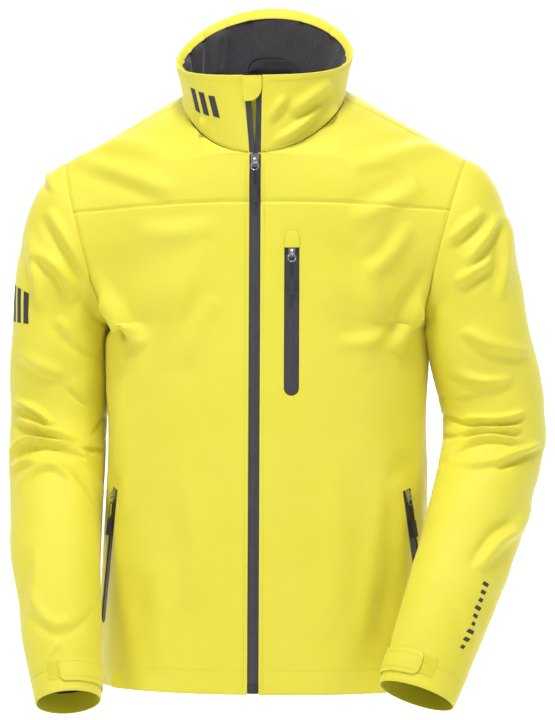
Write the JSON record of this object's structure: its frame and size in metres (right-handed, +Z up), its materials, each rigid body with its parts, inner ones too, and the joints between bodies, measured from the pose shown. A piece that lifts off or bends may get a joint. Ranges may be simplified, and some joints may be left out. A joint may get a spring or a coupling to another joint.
{
  "type": "foul weather jacket",
  "caption": "Waterproof sailing jacket with a stand-up collar, full front zip, zipped chest and hand pockets, shaped sleeves and tabbed cuffs.",
  "frame": {"origin": "middle of the underside of the hang loop's crown, at the back of the neck, where a hook bears", "axes": "+Z up along the wearer's height, -Y the front with the main zip, +X the wearer's left"},
  "size_m": [0.6581, 0.3224, 0.8575],
  "materials": {
    "shell_cloth": "smooth plain-weave waterproof shell cloth, soft low sheen",
    "collar_fleece": "brushed charcoal knit",
    "lining_cloth": "fine grey lining taffeta",
    "zip_tape": "laminated water-repellent zip tape, satin",
    "trim_tape": "ribbed woven tape",
    "zip_plastic": "moulded acetal",
    "slider_metal": "dark satin plating",
    "pull_cord": "braided cord",
    "pull_rubber": "moulded soft grip"
  },
  "bodies": {
    "jacket_body": {"left_front_panel": "shell_cloth", "right_front_panel": "shell_cloth", "left_front_yoke": "shell_cloth", "right_front_yoke": "shell_cloth", "back_panel": "shell_cloth", "back_yoke": "shell_cloth", "left_front_lining": "lining_cloth", "right_front_lining": "lining_cloth", "back_lining": "lining_cloth", "left_zip_facing": "shell_cloth", "right_zip_facing": "shell_cloth", "storm_flap": "shell_cloth", "collar_shell": "shell_cloth", "collar_lining": "collar_fleece", "collar_facing": "shell_cloth", "neck_tape": "trim_tape", "hang_loop": "trim_tape", "chin_guard": "shell_cloth", "main_zip_left_tape": "zip_tape", "main_zip_right_tape": "zip_tape", "main_zip_retainer": "zip_plastic", "chest_zip_tapes": "zip_tape", "chest_zip_garage": "shell_cloth", "chest_pocket_bag": "lining_cloth", "left_pocket_zip_tapes": "zip_tape", "left_pocket_bag": "lining_cloth", "right_pocket_zip_tapes": "zip_tape", "right_pocket_bag": "lining_cloth"},
    "main_zip_slider_body": {"main_zip_slider": "slider_metal"},
    "main_zip_pull_body": {"main_zip_pull_ring": "slider_metal", "main_zip_pull_cord": "pull_cord", "main_zip_pull_grip": "pull_rubber"},
    "chest_zip_slider_body": {"chest_zip_slider": "slider_metal"},
    "chest_zip_pull_body": {"chest_zip_pull_ring": "slider_metal", "chest_zip_pull_cord": "pull_cord", "chest_zip_pull_grip": "pull_rubber"},
    "left_pocket_zip_slider_body": {"left_pocket_zip_slider": "slider_metal"},
    "left_pocket_zip_pull_body": {"left_pocket_zip_pull_ring": "slider_metal", "left_pocket_zip_pull_cord": "pull_cord", "left_pocket_zip_pull_grip": "pull_rubber"},
    "right_pocket_zip_slider_body": {"right_pocket_zip_slider": "slider_metal"},
    "right_pocket_zip_pull_body": {"right_pocket_zip_pull_ring": "slider_metal", "right_pocket_zip_pull_cord": "pull_cord", "right_pocket_zip_pull_grip": "pull_rubber"},
    "left_upper_sleeve_body": {"left_upper_sleeve": "shell_cloth", "left_upper_sleeve_lining": "lining_cloth"},
    "left_forearm_body": {"left_forearm_sleeve": "shell_cloth", "left_forearm_lining": "lining_cloth", "left_cuff_band": "shell_cloth", "left_cuff_loop_patch": "trim_tape"},
    "left_cuff_tab_body": {"left_cuff_tab": "shell_cloth"},
    "right_upper_sleeve_body": {"right_upper_sleeve": "shell_cloth", "right_upper_sleeve_lining": "lining_cloth"},
    "right_forearm_body": {"right_forearm_sleeve": "shell_cloth", "right_forearm_lining": "lining_cloth", "right_cuff_band": "shell_cloth", "right_cuff_loop_patch": "trim_tape"},
    "right_cuff_tab_body": {"right_cuff_tab": "shell_cloth"}
  },
  "joints": [
    {"name": "main_zip_slide", "type": "slide", "parent": "jacket_body", "child": "main_zip_slider_body", "axis": [0, -0.0376, -0.9993], "range_m": [0, 0.605]},
    {"name": "main_zip_pull_swing", "type": "hinge", "parent": "main_zip_slider_body", "child": "main_zip_pull_body", "pos_m": [0, -0.16063, -0.13898], "axis": [-1, 0, 0], "range_deg": [0, 150]},
    {"name": "chest_zip_slide", "type": "slide", "parent": "jacket_body", "child": "chest_zip_slider_body", "axis": [0, -0.0331, -0.9995], "range_m": [0, 0.158]},
    {"name": "chest_zip_pull_swing", "type": "hinge", "parent": "chest_zip_slider_body", "child": "chest_zip_pull_body", "pos_m": [0.04436, -0.16308, -0.24752], "axis": [-0.9938, -0.1112, 0.0037], "range_deg": [0, 150]},
    {"name": "left_pocket_zip_slide", "type": "slide", "parent": "jacket_body", "child": "left_pocket_zip_slider_body", "axis": [0.1203, 0.1542, -0.9807], "range_m": [0, 0.149]},
    {"name": "left_pocket_zip_pull_swing", "type": "hinge", "parent": "left_pocket_zip_slider_body", "child": "left_pocket_zip_pull_body", "pos_m": [0.17994, -0.1067, -0.53656], "axis": [-0.4549, -0.8695, -0.1925], "range_deg": [0, 10]},
    {"name": "right_pocket_zip_slide", "type": "slide", "parent": "jacket_body", "child": "right_pocket_zip_slider_body", "axis": [-0.1203, 0.1542, -0.9807], "range_m": [0, 0.149]},
    {"name": "right_pocket_zip_pull_swing", "type": "hinge", "parent": "right_pocket_zip_slider_body", "child": "right_pocket_zip_pull_body", "pos_m": [-0.17994, -0.1067, -0.53656], "axis": [-0.4549, 0.8695, 0.1925], "range_deg": [0, 6]},
    {"name": "left_shoulder_raise", "type": "hinge", "parent": "jacket_body", "child": "left_upper_sleeve_body", "pos_m": [0.245, -0.042, -0.129], "axis": [0, -1, 0], "range_deg": [0, 30]},
    {"name": "left_elbow_bend", "type": "hinge", "parent": "left_upper_sleeve_body", "child": "left_forearm_body", "pos_m": [0.277, -0.09376, -0.43578], "axis": [-1, 0.0016, 0.0066], "range_deg": [0, 60]},
    {"name": "left_cuff_tab_peel", "type": "hinge", "parent": "left_forearm_body", "child": "left_cuff_tab_body", "pos_m": [0.15815, -0.17781, -0.73281], "axis": [-0.2381, -0.4462, -0.8627], "range_deg": [0, 90]},
    {"name": "right_shoulder_raise", "type": "hinge", "parent": "jacket_body", "child": "right_upper_sleeve_body", "pos_m": [-0.245, -0.042, -0.129], "axis": [0, 1, 0], "range_deg": [0, 30]},
    {"name": "right_elbow_bend", "type": "hinge", "parent": "right_upper_sleeve_body", "child": "right_forearm_body", "pos_m": [-0.25912, -0.09746, -0.43939], "axis": [-0.9995, -0.0062, -0.0294], "range_deg": [0, 60]},
    {"name": "right_cuff_tab_peel", "type": "hinge", "parent": "right_forearm_body", "child": "right_cuff_tab_body", "pos_m": [-0.18086, -0.16946, -0.7526], "axis": [-0.074, 0.4117, 0.9083], "range_deg": [0, 90]}
  ]
}
